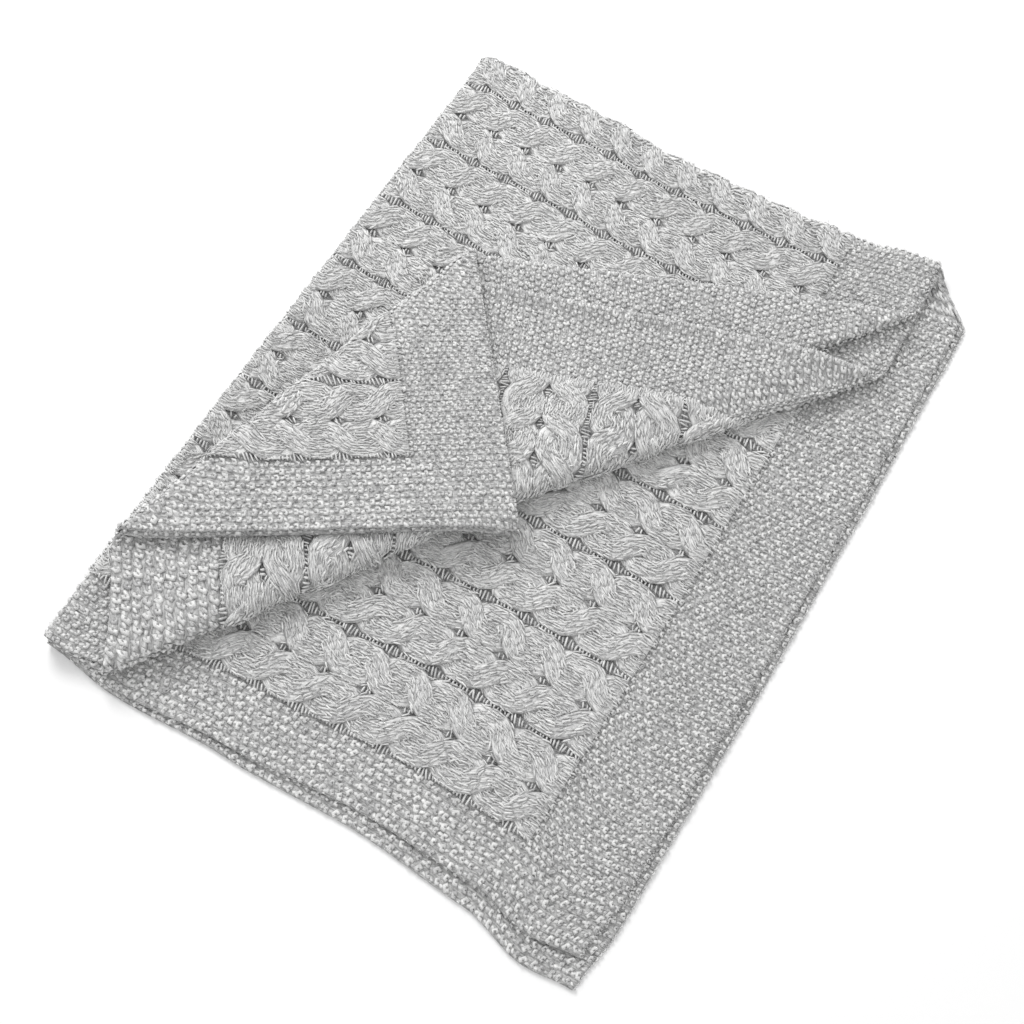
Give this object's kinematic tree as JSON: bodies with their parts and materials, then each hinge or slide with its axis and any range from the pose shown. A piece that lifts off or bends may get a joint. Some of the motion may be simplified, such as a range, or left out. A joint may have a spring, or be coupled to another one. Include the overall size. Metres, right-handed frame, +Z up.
{
  "type": "cable-knit throw blanket",
  "caption": "Alpaca wool cable-knit throw, folded in four and lying flat, with its loose upper corner turned back and the tip turned down again.",
  "frame": {"origin": "centre of the bounding box, on the floor the folded throw lies on", "axes": "+Z up, +X along the cables from the first fold to the open end, +Y across the cables from the open side to the second fold"},
  "size_m": [0.6978, 0.9408, 0.0623],
  "materials": {
    "marled_knit": "soft marled light grey wool knit, matt"
  },
  "bodies": {
    "root": {"knit_throw": "marled_knit"}
  },
  "joints": []
}
